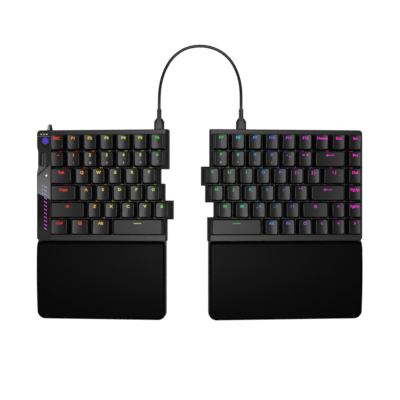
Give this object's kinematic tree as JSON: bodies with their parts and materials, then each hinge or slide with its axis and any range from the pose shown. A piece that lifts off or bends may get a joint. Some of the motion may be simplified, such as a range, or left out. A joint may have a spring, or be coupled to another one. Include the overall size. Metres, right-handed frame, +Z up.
{
  "type": "ergonomic split keyboard",
  "caption": "Split keyboard in two tented halves with separate keycaps, switches, cases, fold-out legs and palm rests, joined by a short link cable.",
  "frame": {"origin": "centre of the keyboard's footprint on the desk, without the link cable and its plugs", "axes": "+X to the right along the rows, +Y away from the user, +Z up"},
  "size_m": [0.3748, 0.3186, 0.0431],
  "materials": {
    "frame_plastic": "fine matt moulded top frame, dark grey",
    "tray_plastic": "matt black moulded tray",
    "keycap_plastic": "matt charcoal keycaps",
    "switch_plastic": "black switch housings",
    "plate_metal": "black painted steel plate",
    "board": "black solder mask",
    "screw_steel": "black oxide steel",
    "rubber": "black rubber",
    "leg_plastic": "matt black plastic",
    "palm_plastic": "matt black plastic",
    "palm_skin": "smooth near-black skin over foam",
    "smoked_panel": "smoked translucent plastic",
    "light_guide": "clear light guide, lit pale violet",
    "roller_grip": "dark ribbed grip",
    "tag_weave": "woven ribbon",
    "cell_wrap": "foil wrapped cell",
    "socket_steel": "nickel plated shell",
    "plug_rubber": "black over-moulding",
    "cable_jacket": "black cable jacket"
  },
  "bodies": {
    "left_half": {"left_top_case": "frame_plastic", "left_bottom_case": "tray_plastic", "left_switch_plate": "plate_metal", "left_circuit_board": "board", "left_switches": "switch_plastic", "left_case_screws": "screw_steel", "left_case_feet": "rubber", "left_link_socket": "socket_steel", "left_link_plug": "plug_rubber", "link_cable": "cable_jacket", "indicator_panel": "smoked_panel", "light_guides": "light_guide", "roller_encoder": "switch_plastic", "loop_tag": "tag_weave", "battery": "cell_wrap"},
    "right_half": {"right_top_case": "frame_plastic", "right_bottom_case": "tray_plastic", "right_switch_plate": "plate_metal", "right_circuit_board": "board", "right_switches": "switch_plastic", "right_case_screws": "screw_steel", "right_case_feet": "rubber", "right_link_socket": "socket_steel", "right_link_plug": "plug_rubber"},
    "control_roller": {"control_roller": "roller_grip"},
    "left_tilt_leg": {"left_tilt_leg": "leg_plastic"},
    "right_tilt_leg": {"right_tilt_leg": "leg_plastic"},
    "left_palm_rest": {"left_palm_base": "palm_plastic", "left_palm_pad": "palm_skin", "left_palm_feet": "rubber"},
    "right_palm_rest": {"right_palm_base": "palm_plastic", "right_palm_pad": "palm_skin", "right_palm_feet": "rubber"},
    "left_palm_leg": {"left_palm_leg": "leg_plastic"},
    "right_palm_leg": {"right_palm_leg": "leg_plastic"},
    "left_function_keys": {"left_function_keys": "keycap_plastic"},
    "left_number_keys": {"left_number_keys": "keycap_plastic"},
    "tab_key": {"tab_key": "keycap_plastic"},
    "left_upper_letter_keys": {"left_upper_letter_keys": "keycap_plastic"},
    "caps_lock_key": {"caps_lock_key": "keycap_plastic"},
    "left_home_letter_keys": {"left_home_letter_keys": "keycap_plastic"},
    "left_shift_key": {"left_shift_key": "keycap_plastic"},
    "left_lower_letter_keys": {"left_lower_letter_keys": "keycap_plastic"},
    "left_modifier_keys": {"left_modifier_keys": "keycap_plastic"},
    "left_space_bar": {"left_space_bar": "keycap_plastic"},
    "right_function_keys": {"right_function_keys": "keycap_plastic"},
    "right_number_keys": {"right_number_keys": "keycap_plastic"},
    "backspace_key": {"backspace_key": "keycap_plastic"},
    "right_upper_letter_keys": {"right_upper_letter_keys": "keycap_plastic"},
    "backslash_key": {"backslash_key": "keycap_plastic"},
    "right_home_letter_keys": {"right_home_letter_keys": "keycap_plastic"},
    "enter_key": {"enter_key": "keycap_plastic"},
    "right_lower_letter_keys": {"right_lower_letter_keys": "keycap_plastic"},
    "right_shift_key": {"right_shift_key": "keycap_plastic"},
    "up_arrow_key": {"up_arrow_key": "keycap_plastic"},
    "right_space_bar": {"right_space_bar": "keycap_plastic"},
    "right_command_keys": {"right_command_keys": "keycap_plastic"},
    "left_arrow_key": {"left_arrow_key": "keycap_plastic"},
    "down_arrow_key": {"down_arrow_key": "keycap_plastic"},
    "right_arrow_key": {"right_arrow_key": "keycap_plastic"}
  },
  "joints": [
    {"name": "halves_spread", "type": "slide", "parent": "left_half", "child": "right_half", "axis": [1, 0, 0], "range_m": [-0.034, 0.06], "deforming": ["link_cable"]},
    {"name": "left_function_keys_press", "type": "slide", "parent": "left_half", "child": "left_function_keys", "axis": [-0.0837, 0, 0.9965], "range_m": [-0.0035, 0], "stiffness_N_per_m": 420, "springref_m": 0.005},
    {"name": "left_number_keys_press", "type": "slide", "parent": "left_half", "child": "left_number_keys", "axis": [-0.0837, 0, 0.9965], "range_m": [-0.0035, 0], "stiffness_N_per_m": 420, "springref_m": 0.005},
    {"name": "tab_key_press", "type": "slide", "parent": "left_half", "child": "tab_key", "axis": [-0.0837, 0, 0.9965], "range_m": [-0.0035, 0], "stiffness_N_per_m": 60, "springref_m": 0.005},
    {"name": "left_upper_letter_keys_press", "type": "slide", "parent": "left_half", "child": "left_upper_letter_keys", "axis": [-0.0837, 0, 0.9965], "range_m": [-0.0035, 0], "stiffness_N_per_m": 300, "springref_m": 0.005},
    {"name": "caps_lock_key_press", "type": "slide", "parent": "left_half", "child": "caps_lock_key", "axis": [-0.0837, 0, 0.9965], "range_m": [-0.0035, 0], "stiffness_N_per_m": 60, "springref_m": 0.005},
    {"name": "left_home_letter_keys_press", "type": "slide", "parent": "left_half", "child": "left_home_letter_keys", "axis": [-0.0837, 0, 0.9965], "range_m": [-0.0035, 0], "stiffness_N_per_m": 300, "springref_m": 0.005},
    {"name": "left_shift_key_press", "type": "slide", "parent": "left_half", "child": "left_shift_key", "axis": [-0.0837, 0, 0.9965], "range_m": [-0.0035, 0], "stiffness_N_per_m": 60, "springref_m": 0.005},
    {"name": "left_lower_letter_keys_press", "type": "slide", "parent": "left_half", "child": "left_lower_letter_keys", "axis": [-0.0837, 0, 0.9965], "range_m": [-0.0035, 0], "stiffness_N_per_m": 300, "springref_m": 0.005},
    {"name": "left_modifier_keys_press", "type": "slide", "parent": "left_half", "child": "left_modifier_keys", "axis": [-0.0837, 0, 0.9965], "range_m": [-0.0035, 0], "stiffness_N_per_m": 180, "springref_m": 0.005},
    {"name": "left_space_bar_press", "type": "slide", "parent": "left_half", "child": "left_space_bar", "axis": [-0.0837, 0, 0.9965], "range_m": [-0.0035, 0], "stiffness_N_per_m": 60, "springref_m": 0.005},
    {"name": "left_tilt_leg_fold", "type": "hinge", "parent": "left_half", "child": "left_tilt_leg", "pos_m": [-0.05097, 0.04215, 0.01393], "axis": [0, 1, 0], "range_deg": [0, 98]},
    {"name": "left_palm_rest_pull_off", "type": "slide", "parent": "left_half", "child": "left_palm_rest", "axis": [0, -1, 0], "range_m": [0, 0.05]},
    {"name": "left_palm_leg_fold", "type": "hinge", "parent": "left_palm_rest", "child": "left_palm_leg", "pos_m": [-0.05097, -0.06725, 0.01393], "axis": [0, 1, 0], "range_deg": [0, 98]},
    {"name": "right_function_keys_press", "type": "slide", "parent": "right_half", "child": "right_function_keys", "axis": [0.0837, 0, 0.9965], "range_m": [-0.0035, 0], "stiffness_N_per_m": 540, "springref_m": 0.005},
    {"name": "right_number_keys_press", "type": "slide", "parent": "right_half", "child": "right_number_keys", "axis": [0.0837, 0, 0.9965], "range_m": [-0.0035, 0], "stiffness_N_per_m": 420, "springref_m": 0.005},
    {"name": "backspace_key_press", "type": "slide", "parent": "right_half", "child": "backspace_key", "axis": [0.0837, 0, 0.9965], "range_m": [-0.0035, 0], "stiffness_N_per_m": 60, "springref_m": 0.005},
    {"name": "right_upper_letter_keys_press", "type": "slide", "parent": "right_half", "child": "right_upper_letter_keys", "axis": [0.0837, 0, 0.9965], "range_m": [-0.0035, 0], "stiffness_N_per_m": 480, "springref_m": 0.005},
    {"name": "backslash_key_press", "type": "slide", "parent": "right_half", "child": "backslash_key", "axis": [0.0837, 0, 0.9965], "range_m": [-0.0035, 0], "stiffness_N_per_m": 60, "springref_m": 0.005},
    {"name": "right_home_letter_keys_press", "type": "slide", "parent": "right_half", "child": "right_home_letter_keys", "axis": [0.0837, 0, 0.9965], "range_m": [-0.0035, 0], "stiffness_N_per_m": 420, "springref_m": 0.005},
    {"name": "enter_key_press", "type": "slide", "parent": "right_half", "child": "enter_key", "axis": [0.0837, 0, 0.9965], "range_m": [-0.0035, 0], "stiffness_N_per_m": 60, "springref_m": 0.005},
    {"name": "right_lower_letter_keys_press", "type": "slide", "parent": "right_half", "child": "right_lower_letter_keys", "axis": [0.0837, 0, 0.9965], "range_m": [-0.0035, 0], "stiffness_N_per_m": 360, "springref_m": 0.005},
    {"name": "right_shift_key_press", "type": "slide", "parent": "right_half", "child": "right_shift_key", "axis": [0.0837, 0, 0.9965], "range_m": [-0.0035, 0], "stiffness_N_per_m": 60, "springref_m": 0.005},
    {"name": "up_arrow_key_press", "type": "slide", "parent": "right_half", "child": "up_arrow_key", "axis": [0.0837, 0, 0.9965], "range_m": [-0.0035, 0], "stiffness_N_per_m": 60, "springref_m": 0.005},
    {"name": "right_space_bar_press", "type": "slide", "parent": "right_half", "child": "right_space_bar", "axis": [0.0837, 0, 0.9965], "range_m": [-0.0035, 0], "stiffness_N_per_m": 60, "springref_m": 0.005},
    {"name": "right_command_keys_press", "type": "slide", "parent": "right_half", "child": "right_command_keys", "axis": [0.0837, 0, 0.9965], "range_m": [-0.0035, 0], "stiffness_N_per_m": 180, "springref_m": 0.005},
    {"name": "left_arrow_key_press", "type": "slide", "parent": "right_half", "child": "left_arrow_key", "axis": [0.0837, 0, 0.9965], "range_m": [-0.0035, 0], "stiffness_N_per_m": 60, "springref_m": 0.005},
    {"name": "down_arrow_key_press", "type": "slide", "parent": "right_half", "child": "down_arrow_key", "axis": [0.0837, 0, 0.9965], "range_m": [-0.0035, 0], "stiffness_N_per_m": 60, "springref_m": 0.005},
    {"name": "right_arrow_key_press", "type": "slide", "parent": "right_half", "child": "right_arrow_key", "axis": [0.0837, 0, 0.9965], "range_m": [-0.0035, 0], "stiffness_N_per_m": 60, "springref_m": 0.005},
    {"name": "right_tilt_leg_fold", "type": "hinge", "parent": "right_half", "child": "right_tilt_leg", "pos_m": [0.02281, 0.04215, 0.01629], "axis": [0, 1, 0], "range_deg": [-98, 0]},
    {"name": "right_palm_rest_pull_off", "type": "slide", "parent": "right_half", "child": "right_palm_rest", "axis": [0, -1, 0], "range_m": [0, 0.05]},
    {"name": "right_palm_leg_fold", "type": "hinge", "parent": "right_palm_rest", "child": "right_palm_leg", "pos_m": [0.02281, -0.06725, 0.01629], "axis": [0, 1, 0], "range_deg": [-98, 0]},
    {"name": "control_roller_turn", "type": "hinge", "parent": "left_half", "child": "control_roller", "pos_m": [-0.17714, 0.0709, 0.01628], "axis": [0, 1, 0], "continuous": true}
  ]
}
